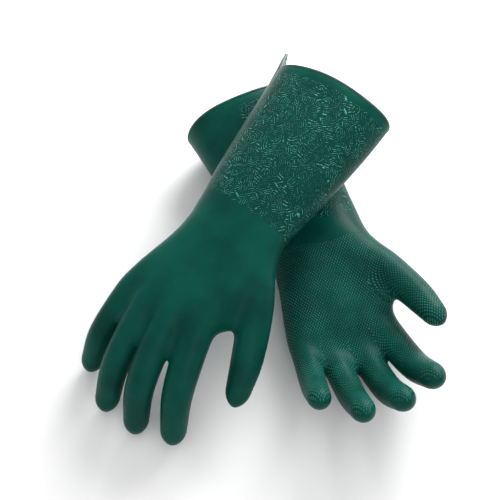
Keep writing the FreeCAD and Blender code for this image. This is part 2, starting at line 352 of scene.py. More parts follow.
@dataclass(frozen=True)
class HandForm:
    """The hand form that both gloves are dipped on, in metres and degrees.

    The first sizes are how a glove lies relaxed, and differ between the two: how far each finger
    spreads, how far the knuckles, the thumb, its web and the heel of the hand stand out, and how
    the cuff turns at the wrist.  A melt is the reach of the rounding where two shapes meet.
    """

    spreads: tuple[float, float, float, float]
    knuckles_out: float
    thumb_spread: float
    thumb_droop: float
    thumb_out: float
    web_out: float
    heel_out: float
    cuff_turn: float
    cuff_pitch: float
    cuff_length: float = 0.1388
    wrist_bend: tuple[float, float] = (-0.025, 0.035)
    end_round: float = 0.020
    web_share: float = 0.74
    web_back: Place = (0.014, 0.0, 0.001)
    web_radii: tuple[float, float] = (0.0100, 0.0066)
    web_melt: float = 0.007
    thumb_web_heel: Place = (0.034, 0.024, -0.006)
    thumb_web_shift: Place = (0.001, -0.001, -0.003)
    thumb_web_radii: tuple[float, float] = (0.0140, 0.0072)
    thumb_web_melt: float = 0.012
    knuckle_melt: float = 0.0100
    crotch_melt: float = 0.0015
    crotch: tuple[float, float] = (0.080, 0.112)
    hand_melt: float = 0.010
    thumb_melt: float = 0.016
    normal_step: float = 0.0004

    def body(self) -> tuple[Section, ...]:
        """Lists the sections of the cuff and the palm.

        Returns:
            The sections, from the rim to the knuckles.
        """
        out = self.heel_out / 2
        return (
            Section(-0.152, 0.0560, 0.0364, -0.0022),
            Section(-0.140, 0.0548, 0.0356, -0.0021),
            Section(-0.104, 0.0526, 0.0334, -0.0018),
            Section(-0.066, 0.0491, 0.0304, -0.0016),
            Section(-0.030, 0.0446, 0.0272, -0.0015),
            Section(0.000, 0.0405 + out * 0.4, 0.0240, -0.0018 - out * 0.4),
            Section(0.034, 0.0380 + out, 0.0200, -0.0018 - out),
            Section(0.070, 0.0384 + out, 0.0160, -0.0038 - out, 0.0005),
            Section(0.098, 0.0370 + out * 0.5, 0.0120, -0.0070 - out * 0.5, -0.0015),
        )

    def fingers(self) -> list[FingerForm]:
        """Lists the five fingers, thumb last.

        Returns:
            The fingers, with their heels, knuckles, angles, lengths and radii.
        """
        out = self.knuckles_out
        index, middle, ring, little = self.spreads
        return [
            FingerForm("index", (0.022, 0.0150, 0.001), (0.0810, 0.0272 + out, 0.0020),
                       index, 19.4, (14.5, 20.5), 0.0, (0.0350, 0.0280, 0.0315),
                       (0.0135, 0.0131, 0.0129, 0.0121, 0.0106)),
            FingerForm("middle", (0.022, 0.0025, 0.001), (0.0904, 0.0050 + out, 0.0040),
                       middle, 15.0, (18.0, 24.6), 0.0, (0.0355, 0.0280, 0.0329),
                       (0.0135, 0.0126, 0.0121, 0.0117, 0.0103)),
            FingerForm("ring", (0.022, -0.0100, 0.001), (0.0908, -0.0177 + out, 0.0030),
                       ring, 17.6, (15.0, 19.0), 0.0, (0.0343, 0.0280, 0.0287),
                       (0.0135, 0.0123, 0.0117, 0.0112, 0.0100)),
            FingerForm("little", (0.022, -0.0200, 0.001), (0.0846, -0.0380 + out, 0.0000),
                       little, 21.2, (12.9, 18.1), 0.0, (0.0282, 0.0253, 0.0259),
                       (0.0130, 0.0114, 0.0110, 0.0106, 0.0095)),
            FingerForm("thumb", (0.004, 0.0158 + self.thumb_out, -0.004),
                       (0.0410, 0.0454 + self.thumb_out, -0.0115),
                       self.thumb_spread, self.thumb_droop, (4.3, 4.6), -7.0,
                       (0.0240, 0.0250, 0.0205), (0.0162, 0.0149, 0.0136, 0.0125, 0.0103)),
        ]

    def cuff_frame(self) -> np.ndarray:
        """How the cuff is turned against the hand."""
        return turn_z(self.cuff_turn) @ turn_y(self.cuff_pitch)

    def cuff_out(self) -> np.ndarray:
        """The direction out of the cuff's mouth."""
        return self.cuff_frame() @ np.array([-1.0, 0.0, 0.0])

    def straighten(self, points: np.ndarray) -> np.ndarray:
        """Places in a frame that turns smoothly from the cuff's to the hand's at the wrist."""
        share = smooth_step(-points[:, 0], *self.wrist_bend)[:, None]
        return points @ self.cuff_frame() * share + points * (1.0 - share)

    def web(self, points: np.ndarray) -> np.ndarray:
        """Distances to the webs between the fingers.

        Args:
            points: places to measure, one per row.

        Returns:
            One signed distance per place.
        """
        fingers = self.fingers()[:4]
        total = np.full(len(points), 1.0)
        for pair in zip(fingers[:3], fingers[1:]):
            places = [finger.points() for finger in pair]
            middle = sum(p[0] + (p[1] - p[0]) * self.web_share for p in places) / 2
            start = (places[0][0] + places[1][0]) / 2 - np.array(self.web_back)
            total = np.minimum(total, taper(points, start, middle, *self.web_radii))
        return total

    def thumb_web(self, points: np.ndarray) -> np.ndarray:
        """Distances to the broad web between the thumb and the index finger.

        Args:
            points: places to measure, one per row.

        Returns:
            One signed distance per place.
        """
        root = (np.array(self.fingers()[4].root) + np.array(self.fingers()[0].root)) / 2
        finish = root + np.array(self.thumb_web_shift) + np.array([self.web_out, 0.0, 0.0])
        return taper(points, np.array(self.thumb_web_heel), finish, *self.thumb_web_radii)

    def distance(self, points: np.ndarray) -> np.ndarray:
        """Distances to the whole form: cuff, palm, fingers and thumb.

        Args:
            points: places to measure, one per row.

        Returns:
            One signed distance per place, negative inside.
        """
        fingers = self.fingers()
        body = oval_tube(self.straighten(points), self.body(), self.end_round)
        tighter = self.knuckle_melt - self.crotch_melt
        loose = self.knuckle_melt - tighter * smooth_step(points[:, 0], *self.crotch)
        grown = None
        for finger in fingers[:4]:
            one = finger.distance(points)
            grown = one if grown is None else melt(grown, one, loose)
        hand = melt(body, melt(grown, self.web(points), self.web_melt), self.hand_melt)
        thumb = melt(fingers[4].distance(points), self.thumb_web(points), self.thumb_web_melt)
        return melt(hand, thumb, self.thumb_melt)

    def normals(self, points: np.ndarray) -> np.ndarray:
        """Outward directions of the form's surface.

        Args:
            points: places on or near the surface, one per row.

        Returns:
            One direction per place, one long.
        """
        slope = np.empty_like(points)
        for axis in range(3):
            shift = np.zeros(3)
            shift[axis] = self.normal_step
            slope[:, axis] = self.distance(points + shift) - self.distance(points - shift)
        return unit_rows(slope)


class SkinNet:
    """Turns a distance field into a mesh of even quads."""

    LOW = (-0.165, -0.092, -0.078)
    HIGH = (0.185, 0.112, 0.048)
    SLAB = 8
    PULLS = 2

    def __init__(self, cell: float) -> None:
        """Lays a grid of cells over the box that holds the form.

        Args:
            cell: the size of a cell.
        """
        self.low = np.array(self.LOW)
        self.cell = cell
        self.count = np.ceil((np.array(self.HIGH) - self.low) / cell).astype(int) + 1

    def sample(self, form: HandForm) -> np.ndarray:
        """Measures the form at every corner of the grid, a few layers at a time.

        Args:
            form: the hand form.

        Returns:
            One signed distance per corner.
        """
        axes = [self.low[i] + self.cell * np.arange(self.count[i]) for i in range(3)]
        values = np.empty(tuple(self.count), dtype=np.float32)
        yy, zz = np.meshgrid(axes[1], axes[2], indexing="ij")
        flat = np.stack([np.zeros(yy.size), yy.ravel(), zz.ravel()], axis=1)
        for first in range(0, self.count[0], self.SLAB):
            xs = axes[0][first:first + self.SLAB]
            block = np.tile(flat, (len(xs), 1))
            block[:, 0] = np.repeat(xs, len(flat))
            layer = form.distance(block).reshape(len(xs), *yy.shape)
            values[first:first + self.SLAB] = layer
        return values

    def corner(self, array: np.ndarray, c: tuple[int, int, int]) -> np.ndarray:
        """One corner of every cell."""
        n = self.count - 1
        return array[c[0]:c[0] + n[0], c[1]:c[1] + n[1], c[2]:c[2] + n[2]]

    def crossings(self, values: np.ndarray, active: np.ndarray) -> np.ndarray:
        """Places one vertex in each cell that the surface crosses.

        Args:
            values: the distances at the grid's corners.
            active: which cells the surface crosses.

        Returns:
            The middle of the places where the surface crosses each such cell's edges.
        """
        cells = np.argwhere(active)
        sums = np.zeros((len(cells), 3))
        hits = np.zeros(len(cells))
        for a in self.corners():
            for axis in range(3):
                if a[axis]:
                    continue
                b = list(a)
                b[axis] = 1
                va = self.corner(values, a)[active]
                vb = self.corner(values, tuple(b))[active]
                crosses = (va < 0) != (vb < 0)
                t = np.where(crosses, va / np.where(crosses, va - vb, 1.0), 0.0)
                place = np.array(a, dtype=float)[None, :].repeat(len(cells), axis=0)
                place[:, axis] += t
                sums += place * crosses[:, None]
                hits += crosses
        return self.low + self.cell * (cells + sums / hits[:, None])

    @staticmethod
    def corners() -> list[tuple[int, int, int]]:
        """The eight corners of a cell."""
        return [(i, j, k) for i in (0, 1) for j in (0, 1) for k in (0, 1)]

    def quads(self, inside: np.ndarray, number: np.ndarray, axis: int) -> np.ndarray:
        """Joins the vertices round every grid edge that the surface crosses.

        Args:
            inside: which corners of the grid are inside the form.
            number: each cell's vertex number, or -1.
            axis: the direction of the edges.

        Returns:
            Rows of four vertex numbers, facing outwards.
        """
        u, v = ((1, 2), (2, 0), (0, 1))[axis]
        first = [slice(1, -1)] * 3
        second = [slice(1, -1)] * 3
        first[axis] = slice(0, number.shape[axis])
        second[axis] = slice(1, number.shape[axis] + 1)
        a = inside[tuple(first)]
        b = inside[tuple(second)]
        base = np.argwhere(a != b)
        leaving = a[a != b]
        base[:, u] += 1
        base[:, v] += 1
        loop = []
        for du, dv in ((0, 0), (-1, 0), (-1, -1), (0, -1)):
            cell = base.copy()
            cell[:, u] += du
            cell[:, v] += dv
            loop.append(number[cell[:, 0], cell[:, 1], cell[:, 2]])
        ring = np.stack(loop, axis=1)
        ring[~leaving] = ring[~leaving][:, ::-1]
        return ring

    def mesh(self, form: HandForm) -> tuple[np.ndarray, np.ndarray]:
        """Makes the form's skin, and pulls its vertices onto the surface.

        Args:
            form: the hand form.

        Returns:
            Vertices, and quads as rows of four vertex numbers, facing outwards.
        """
        values = self.sample(form)
        inside = values < 0
        total = sum(self.corner(inside, c).astype(np.int8) for c in self.corners())
        active = (total > 0) & (total < 8)
        number = np.full(active.shape, -1, dtype=np.int64)
        number[active] = np.arange(np.count_nonzero(active))
        vertices = self.crossings(values, active)
        quads = np.concatenate([self.quads(inside, number, axis) for axis in range(3)])
        quads = quads[(quads >= 0).all(axis=1)]
        for _ in range(self.PULLS):
            vertices = vertices - form.distance(vertices)[:, None] * form.normals(vertices)
        return vertices, quads


# ------------------------------------------------------------------ finishes
class Nodes:
    """A material's node tree, with short ways to add to it."""

    def __init__(self, name: str) -> None:
        """Starts an empty material with an output and one shader.

        Args:
            name: the material's name.
        """
        self.material = bpy.data.materials.new(name)
        self.material.use_nodes = True
        self.tree = self.material.node_tree
        self.tree.nodes.clear()
        output = self.tree.nodes.new("ShaderNodeOutputMaterial")
        self.shader = self.tree.nodes.new("ShaderNodeBsdfPrincipled")
        self.join(self.shader.outputs[0], output.inputs["Surface"])

    def set(self, **values: object) -> None:
        """Sets or links the shader's sockets.

        Args:
            values: a value or a socket for each, by its name with underscores for spaces.
        """
        for name, value in values.items():
            self.feed(self.shader.inputs[name.replace("_", " ")], value)

    def add(self, kind: str, **settings: object) -> bpy.types.Node:
        """Adds a node.

        Args:
            kind: the node's type.
            settings: the settings to make on it, by name.

        Returns:
            The new node.
        """
        node = self.tree.nodes.new(kind)
        for key, value in settings.items():
            setattr(node, key, value)
        return node

    def join(self, source: bpy.types.NodeSocket, target: bpy.types.NodeSocket) -> None:
        """Links two sockets."""
        self.tree.links.new(source, target)

    def feed(self, socket: bpy.types.NodeSocket, value: object) -> None:
        """Links a socket, or sets it where the value is a plain one.

        Args:
            socket: the socket to feed.
            value: another node's socket, or a plain value.
        """
        if isinstance(value, bpy.types.NodeSocket):
            self.join(value, socket)
        else:
            socket.default_value = value

    def math(self, operation: str, first: object, second: object = 0.0,
             third: object = 0.0) -> bpy.types.NodeSocket:
        """Adds one sum.

        Args:
            operation: the sum's name.
            first: the first value or socket.
            second: the second value or socket.
            third: the third, where the sum has one.

        Returns:
            The result.
        """
        node = self.add("ShaderNodeMath", operation=operation)
        self.feed(node.inputs[0], first)
        self.feed(node.inputs[1], second)
        if operation == "MULTIPLY_ADD":
            self.feed(node.inputs[2], third)
        return node.outputs[0]

    def vector_math(self, operation: str, first: object, second: object,
                    output: str = "Vector") -> bpy.types.NodeSocket:
        """Adds one vector sum.

        Args:
            operation: the sum's name.
            first: the first vector or socket.
            second: the second vector or socket.
            output: which of the node's results is wanted.

        Returns:
            The result.
        """
        node = self.add("ShaderNodeVectorMath", operation=operation)
        self.feed(node.inputs[0], first)
        self.feed(node.inputs[1], second)
        return node.outputs[output]

    def ramp(self, value: object, low: float, high: float, start: float = 0.0,
             finish: float = 1.0) -> bpy.types.NodeSocket:
        """Carries a value smoothly from one range to another.

        Args:
            value: the value or socket.
            low: where the first range starts.
            high: where it ends.
            start: what low becomes.
            finish: what high becomes.

        Returns:
            The value in the second range.
        """
        node = self.add("ShaderNodeMapRange", interpolation_type="SMOOTHSTEP", clamp=True)
        for socket, item in zip(node.inputs, (value, low, high, start, finish)):
            self.feed(socket, item)
        return node.outputs[0]

    def blend_color(self, share: object, first: object, second: object) -> bpy.types.NodeSocket:
        """Blends two colours.

        Args:
            share: how much of the second colour there is.
            first: the first colour or socket.
            second: the second colour or socket.

        Returns:
            The colour between them.
        """
        node = self.add("ShaderNodeMix", data_type="RGBA")
        self.feed(node.inputs["Factor"], share)
        self.feed(node.inputs[6], first)
        self.feed(node.inputs[7], second)
        return node.outputs[2]

    def noise(self, place: object, scale: float, detail: float = 3.0) -> bpy.types.NodeSocket:
        """Adds soft noise, from 0 to 1.

        Args:
            place: the places to read it at.
            scale: how many spots there are to a metre.
            detail: how many finer layers are added.

        Returns:
            The noise.
        """
        node = self.add("ShaderNodeTexNoise")
        self.feed(node.inputs["Vector"], place)
        node.inputs["Scale"].default_value = scale
        node.inputs["Detail"].default_value = detail
        return node.outputs[0]

    def attribute(self, name: str) -> bpy.types.NodeSocket:
        """A vector that the mesh holds."""
        return self.add("ShaderNodeAttribute", attribute_name=name).outputs["Vector"]

    def apart(self, vector: bpy.types.NodeSocket) -> bpy.types.NodeOutputs:
        """The X, Y and Z of a vector.

        Args:
            vector: the vector's socket.

        Returns:
            The three sockets, by letter.
        """
        node = self.add("ShaderNodeSeparateXYZ")
        self.join(vector, node.inputs[0])
        return node.outputs

    def bump(self, height: object, distance: float, strength: float = 1.0,
             normal: object = None) -> bpy.types.NodeSocket:
        """Adds a relief.

        Args:
            height: the relief, from 0 to 1.
            distance: how high 1 is, in metres.
            strength: how much of the relief shows.
            normal: another relief under this one.

        Returns:
            The tilted normal.
        """
        node = self.add("ShaderNodeBump")
        node.inputs["Strength"].default_value = strength
        node.inputs["Distance"].default_value = distance
        self.feed(node.inputs["Height"], height)
        if normal is not None:
            self.feed(node.inputs["Normal"], normal)
        return node.outputs[0]


@dataclass(frozen=True)
class Rubber:
    """Dipped green rubber: satin, embossed on the cuff and with a raised grip on the palm.

    Pairs and fours named ramps give where a value starts and ends, and then what it becomes.
    Each spots value is how many spots of noise there are to a metre, and a relief has its
    spots, its height and its strength.
    """

    name: str = "green_rubber"
    deep: Color = (0.0004, 0.040, 0.029, 1.0)
    lively: Color = (0.0006, 0.066, 0.049, 1.0)
    # Pale green painted on the embossed strokes and the grip dots as a painted highlight.
    crest_highlight: Color = (0.085, 0.410, 0.335, 1.0)
    roughness: float = 0.35
    specular: float = 0.07
    patch_spots: float = 26.0
    mottle_spots: float = 240.0
    patch_ramp: tuple[float, float] = (0.30, 0.70)
    patch_roughness: float = 0.05
    mottle_roughness: float = 0.10
    fine_relief: tuple[float, float, float] = (900.0, 0.03 * MM, 0.6)
    soft_relief: tuple[float, float, float] = (60.0, 0.35 * MM, 0.5)
    emboss_cell: float = 5.0 * MM
    emboss_pitch: float = 1.55 * MM
    emboss_height: float = 0.50 * MM
    emboss_polish: float = 0.16
    stroke_ramp: tuple[float, float] = (0.45, 1.0)
    stroke_gap: tuple[float, float] = (0.02, 0.10)
    break_spots: float = 420.0
    break_ramp: tuple[float, float] = (0.36, 0.52)
    edge_spots: float = 95.0
    edge_ragged: float = 1.6
    edge_ramp: tuple[float, float] = (0.38, 0.62)
    # How much the cuff's ground between the strokes is darkened, as painted shade.
    cuff_ground_shade: float = 0.75
    # glint: noise that sets how much painted highlight each part of the cuff's strokes gets.
    glint_spots: float = 75.0
    glint_ramp: tuple[float, float, float, float] = (0.36, 0.66, 0.18, 0.80)
    grip_pitch: float = 2.4 * MM
    grip_row: float = 3.5 * MM
    grip_height: float = 0.55 * MM
    grip_polish: float = 0.08
    grip_ramp: tuple[float, float] = (0.10, 0.75)
    palm_ramp: tuple[float, float] = (0.25, 0.75)
    # How much painted highlight the grip dots get, varied by noise.
    dot_sheen_spots: float = 32.0
    dot_sheen_ramp: tuple[float, float, float, float] = (0.34, 0.66, 0.12, 0.36)

    def emboss(self, nodes: Nodes, form: bpy.types.NodeSocket) -> bpy.types.NodeSocket:
        """Short raised strokes, a few to a cell, that lie another way in each cell.

        Args:
            nodes: the material.
            form: places on the form.

        Returns:
            The relief, from 0 to 1.
        """
        scale = 1.0 / self.emboss_cell
        cells = nodes.add("ShaderNodeTexVoronoi", feature="F1")
        edge = nodes.add("ShaderNodeTexVoronoi", feature="DISTANCE_TO_EDGE")
        for node in (cells, edge):
            nodes.join(form, node.inputs["Vector"])
            node.inputs["Scale"].default_value = scale
        lean = nodes.vector_math("SUBTRACT", cells.outputs["Color"], (0.5, 0.5, 0.5))
        way = nodes.add("ShaderNodeVectorMath", operation="NORMALIZE")
        nodes.join(lean, way.inputs[0])
        across = nodes.vector_math("DOT_PRODUCT", form, way.outputs[0], "Value")
        wave = nodes.math("SINE", nodes.math("MULTIPLY", across, math.tau / self.emboss_pitch))
        stroke = nodes.ramp(wave, *self.stroke_ramp)
        broken = nodes.ramp(nodes.noise(form, self.break_spots, 2.0), *self.break_ramp)
        inner = nodes.ramp(edge.outputs["Distance"], *self.stroke_gap)
        return nodes.math("MULTIPLY", nodes.math("MULTIPLY", stroke, inner), broken)

    def grip(self, nodes: Nodes, weave: bpy.types.NodeSocket) -> bpy.types.NodeSocket:
        """Rows of small raised dots, each row half a step aside from the last.

        Args:
            nodes: the material.
            weave: places across and along the hand and each finger.

        Returns:
            The relief, from 0 to 1.
        """
        apart = nodes.apart(weave)
        across = nodes.math("MULTIPLY", apart["X"], math.pi / self.grip_pitch)
        along = nodes.math("MULTIPLY", apart["Y"], math.pi / self.grip_row)
        first = nodes.math("COSINE", nodes.math("ADD", across, along))
        second = nodes.math("COSINE", nodes.math("SUBTRACT", across, along))
        dots = nodes.math("MULTIPLY", first, second)
        return nodes.ramp(nodes.math("MULTIPLY", dots, dots), *self.grip_ramp)

    def color(self, nodes: Nodes, form: bpy.types.NodeSocket, patchy: bpy.types.NodeSocket,
              cuffed: bpy.types.NodeSocket, emboss: bpy.types.NodeSocket,
              grip: bpy.types.NodeSocket) -> bpy.types.NodeSocket:
        """The rubber's colour: patches of two greens, with painted highlights on the raised marks
        and painted shade in the cuff's ground.

        Args:
            nodes: the material.
            form: places on the form.
            patchy: where the rubber is lively.
            cuffed: where the cuff is embossed, and where its ground between the strokes is darkened
                as painted shade.
            emboss: the cuff's relief.
            grip: the palm's relief.

        Returns:
            The colour.
        """
        # Painted shade: the ground of the embossed cuff is darker between its strokes.
        ground_shade = nodes.math("MULTIPLY_ADD", cuffed, -self.cuff_ground_shade, 1.0)
        fresh = nodes.math("MULTIPLY", patchy, ground_shade)
        ground = nodes.blend_color(fresh, self.deep, self.lively)
        # Painted highlight on the cuff's strokes, stronger or weaker by the glint noise.
        glint = nodes.ramp(nodes.noise(form, self.glint_spots), *self.glint_ramp)
        tint = nodes.blend_color(nodes.math("MULTIPLY", emboss, glint), ground, self.crest_highlight)
        # Painted highlight on the grip dots, stronger or weaker by noise.
        wear_and_sheen = nodes.ramp(nodes.noise(form, self.dot_sheen_spots), *self.dot_sheen_ramp)
        return nodes.blend_color(nodes.math("MULTIPLY", grip, wear_and_sheen), tint, self.crest_highlight)

    def material(self) -> bpy.types.Material:
        """Makes the rubber's material, for every piece of the shell.

        Returns:
            The material.
        """
        nodes = Nodes(self.name)
        form = nodes.attribute("form")
        marks = nodes.apart(nodes.attribute("marks"))
        patchy = nodes.ramp(nodes.noise(form, self.patch_spots, 4.0), *self.patch_ramp)
        spread = nodes.math("SUBTRACT", nodes.noise(form, self.edge_spots), 0.5)
        ragged = nodes.math("ADD", marks["X"], nodes.math("MULTIPLY", spread, self.edge_ragged))
        cuffed = nodes.ramp(ragged, *self.edge_ramp)
        emboss = nodes.math("MULTIPLY", self.emboss(nodes, form), cuffed)
        palm = nodes.ramp(marks["Y"], *self.palm_ramp)
        grip = nodes.math("MULTIPLY", self.grip(nodes, nodes.attribute("weave")), palm)
        rough = nodes.math("MULTIPLY_ADD", nodes.noise(form, self.mottle_spots),
                           self.mottle_roughness, self.roughness - self.mottle_roughness / 2)
        for share, more in ((patchy, self.patch_roughness), (emboss, -self.emboss_polish),
                            (grip, -self.grip_polish)):
            rough = nodes.math("MULTIPLY_ADD", share, more, rough)
        spots, height, strength = self.fine_relief
        relief = nodes.bump(nodes.noise(form, spots), height, strength)
        spots, height, strength = self.soft_relief
        relief = nodes.bump(nodes.noise(form, spots, 2.0), height, strength, relief)
        relief = nodes.bump(emboss, self.emboss_height, 1.0, relief)
        relief = nodes.bump(grip, self.grip_height, 1.0, relief)
        nodes.set(Base_Color=self.color(nodes, form, patchy, cuffed, emboss, grip),
                  Roughness=rough, IOR=1.50, Specular_IOR_Level=self.specular, Normal=relief)
        return nodes.material


@dataclass(frozen=True)
class Bead:
    """The rolled edge of the cuff: the same rubber, thicker and so darker."""

    name: str = "rim_rubber"
    color: Color = (0.0012, 0.046, 0.034, 1.0)
    # The bead's paler colour where it is worn: real wear.
    wear_and_sheen: Color = (0.006, 0.085, 0.062, 1.0)
    roughness: float = 0.34
    worn_roughness: float = 0.14
    wear_spots: float = 210.0
    relief_spots: float = 420.0
    relief_height: float = 0.08 * MM
    relief_strength: float = 0.8
    wear_ramp: tuple[float, float] = (0.45, 0.75)

    def material(self) -> bpy.types.Material:
        """Makes the bead's material.

        Returns:
            The material.
        """
        nodes = Nodes(self.name)
        form = nodes.attribute("form")
        wear = nodes.ramp(nodes.noise(form, self.wear_spots, 4.0), *self.wear_ramp)
        relief = nodes.noise(form, self.relief_spots)
        nodes.set(Base_Color=nodes.blend_color(wear, self.color, self.wear_and_sheen),
                  Roughness=nodes.math("MULTIPLY_ADD", wear, self.worn_roughness, self.roughness),
                  Normal=nodes.bump(relief, self.relief_height, self.relief_strength))
        return nodes.material


@dataclass(frozen=True)
class Cotton:
    """The knitted cotton lining: columns of small loops, a little fuzzy."""

    name: str = "cotton_lining"
    thread: Color = (0.66, 0.66, 0.58, 1.0)
    hollow: Color = (0.30, 0.33, 0.28, 1.0)
    roughness: float = 0.92
    specular: float = 0.15
    sheen: float = 0.35
    column: float = 1.5 * MM
    course: float = 1.1 * MM
    loop_lift: float = 1.6
    loop_share: float = 0.35
    rib_share: float = 0.30
    fuzz_spots: float = 1500.0
    fuzz_share: float = 0.35
    relief_height: float = 0.30 * MM
    relief_strength: float = 0.9
    thread_ramp: tuple[float, float] = (0.25, 1.05)

    def material(self) -> bpy.types.Material:
        """Makes the lining's material.

        Returns:
            The material.
        """
        nodes = Nodes(self.name)
        apart = nodes.apart(nodes.attribute("weave"))
        column = nodes.math("MULTIPLY", apart["X"], math.tau / self.column)
        arch = nodes.math("ABSOLUTE", nodes.math("SINE", column))
        lift = nodes.math("MULTIPLY", arch, self.loop_lift)
        course = nodes.math("MULTIPLY_ADD", apart["Y"], math.tau / self.course, lift)
        ribs = nodes.math("MULTIPLY_ADD", nodes.math("COSINE", column), self.rib_share, 0.5)
        loops = nodes.math("MULTIPLY_ADD", nodes.math("SINE", course), self.loop_share, ribs)
        fuzz = nodes.noise(nodes.attribute("form"), self.fuzz_spots, 4.0)
        height = nodes.math("MULTIPLY_ADD", fuzz, self.fuzz_share, loops)
        share = nodes.ramp(height, *self.thread_ramp)
        nodes.set(Base_Color=nodes.blend_color(share, self.hollow, self.thread),
                  Roughness=self.roughness, Specular_IOR_Level=self.specular,
                  Sheen_Weight=self.sheen,
                  Normal=nodes.bump(height, self.relief_height, self.relief_strength))
        return nodes.material


@dataclass(frozen=True)
class Floor:
    """A plain pale floor."""

    name: str = "pale_floor"
    color: Color = (0.86, 0.86, 0.865, 1.0)
    roughness: float = 0.85
    specular: float = 0.1

    def material(self) -> bpy.types.Material:
        """Makes the floor's material.

        Returns:
            The material.
        """
        nodes = Nodes(self.name)
        nodes.set(Base_Color=self.color, Roughness=self.roughness,
                  Specular_IOR_Level=self.specular)
        return nodes.material


# ------------------------------------------------------------------ a glove
class Side(Enum):
    """Which hand a glove is for, with the sign of its thumb's side."""

    RIGHT = ("right", 1.0)
    LEFT = ("left", -1.0)

    @property
    def label(self) -> str:
        """The word that its nodes' names start with."""
        return self.value[0]

    @property
    def mirror(self) -> float:
        """1 as the form is, -1 mirrored."""
        return self.value[1]


@dataclass
class Skin:
    """A triangle mesh with what its materials need at every vertex."""

    vertices: np.ndarray
    triangles: np.ndarray
    form: np.ndarray
    weave: np.ndarray
    marks: np.ndarray
    normals: np.ndarray = field(default_factory=lambda: np.zeros((0, 3)))

    def smooth(self) -> None:
        """Works out the vertices' normals."""
        total = np.zeros_like(self.vertices)
        faces = triangle_normals(self.vertices, self.triangles)
        for corner in range(3):
            np.add.at(total, self.triangles[:, corner], faces)
        self.normals = unit_rows(total)


def open_edges(triangles: np.ndarray) -> np.ndarray:
    """The directed edges that only one triangle has.

    Args:
        triangles: vertex numbers, three to a row.

    Returns:
        Two vertex numbers to a row.
    """
    edges = np.concatenate([triangles[:, [0, 1]], triangles[:, [1, 2]], triangles[:, [2, 0]]])
    key = np.sort(edges, axis=1)
    _, first, count = np.unique(key, axis=0, return_index=True, return_counts=True)
    return edges[first[count == 1]]


def add_to_scene(name: str, data: bpy.types.ID) -> bpy.types.Object:
    """Puts a mesh, a light or a camera in the scene.

    Args:
        name: the object's name.
        data: what it holds.

    Returns:
        The new object.
    """
    item = bpy.data.objects.new(name, data)
    bpy.context.scene.collection.objects.link(item)
    return item


def make_object(name: str, vertices: np.ndarray, triangles: np.ndarray, normals: np.ndarray,
                layers: dict[str, np.ndarray], material: bpy.types.Material) -> bpy.types.Object:
    """Makes a smooth-shaded object.

    Args:
        name: the object's name.
        vertices: places in the row frame, in metres.
        triangles: vertex numbers, three to a row.
        normals: one normal for each corner of each triangle, in order.
        layers: vectors that the vertices hold, by name.
        material: the finish.

    Returns:
        The new object.
    """
    mesh = bpy.data.meshes.new(name)
    mesh.vertices.add(len(vertices))
    mesh.vertices.foreach_set("co", vertices.astype(np.float32).ravel())
    mesh.loops.add(triangles.size)
    mesh.loops.foreach_set("vertex_index", triangles.astype(np.int32).ravel())
    mesh.polygons.add(len(triangles))
    mesh.polygons.foreach_set("loop_start", np.arange(0, triangles.size, 3, dtype=np.int32))
    mesh.update(calc_edges=True)
    mesh.polygons.foreach_set("use_smooth", np.ones(len(triangles), dtype=bool))
    for label, values in layers.items():
        layer = mesh.attributes.new(label, "FLOAT_VECTOR", "POINT")
        layer.data.foreach_set("vector", values.astype(np.float32).ravel())
    mesh.validate()
    mesh.normals_split_custom_set(normals.tolist())
    mesh.materials.append(material)
    return add_to_scene(name, mesh)


def shell_object(name: str, skin: Skin, triangles: np.ndarray, depth: tuple[float, float],
                 material: bpy.types.Material) -> bpy.types.Object:
    """A closed sheet of even thickness that follows part of a skin.

    Args:
        name: the object's name.
        skin: the whole skin.
        triangles: the part's triangles.
        depth: how far under the skin the sheet's two faces lie.
        material: the finish.

    Returns:
        The new object.
    """
    used, local = np.unique(triangles, return_inverse=True)
    local = local.reshape(triangles.shape)
    count = len(used)
    normals = skin.normals[used]
    outer = skin.vertices[used] - depth[0] * normals
    inner = skin.vertices[used] - depth[1] * normals
    rim = open_edges(local)
    walls = np.concatenate([
        np.stack([rim[:, 1], rim[:, 0], rim[:, 0] + count], axis=1),
        np.stack([rim[:, 1], rim[:, 0] + count, rim[:, 1] + count], axis=1)])
    faces = np.concatenate([local, local[:, ::-1] + count, walls])
    vertices = np.concatenate([outer, inner])
    flat = unit_rows(triangle_normals(vertices, walls))
    loops = np.concatenate([normals[local].reshape(-1, 3),
                            -normals[local[:, ::-1]].reshape(-1, 3),
                            np.repeat(flat, 3, axis=0)])
    layers = {key: np.tile(getattr(skin, key)[used], (2, 1)) for key in ("form", "weave", "marks")}
    return make_object(name, vertices, faces, loops, layers, material)


